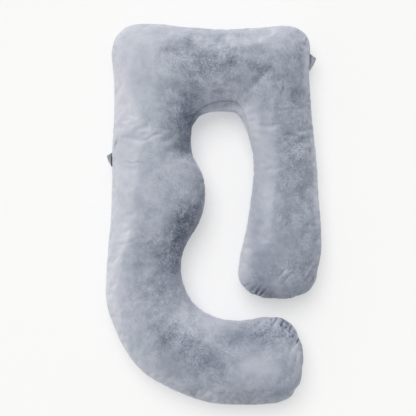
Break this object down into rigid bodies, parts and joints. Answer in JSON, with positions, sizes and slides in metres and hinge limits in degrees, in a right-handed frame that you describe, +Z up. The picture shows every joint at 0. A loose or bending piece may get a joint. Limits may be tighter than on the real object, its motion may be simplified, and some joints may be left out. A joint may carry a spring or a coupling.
{
  "type": "g-shaped pregnancy pillow",
  "caption": "Full-length filled G-shaped pregnancy pillow in brushed grey-blue velvet, with a square head end, a short arm, a curled foot and folded side tabs.",
  "frame": {"origin": "on the surface that the pillow lies on, under the middle of its outline", "axes": "+Z up, away from the surface; +Y along the pillow's length, from the curled foot end to the square head end; +X across it, from the long arm to the short arm"},
  "size_m": [0.793, 1.3985, 0.1949],
  "materials": {
    "velvet_cover": "brushed short-pile velvet",
    "tab_cloth": "brushed short-pile velvet, back of the cloth"
  },
  "bodies": {
    "root": {"pillow_body": "velvet_cover", "tab_short_arm": "tab_cloth", "tab_long_arm": "tab_cloth"}
  },
  "joints": []
}
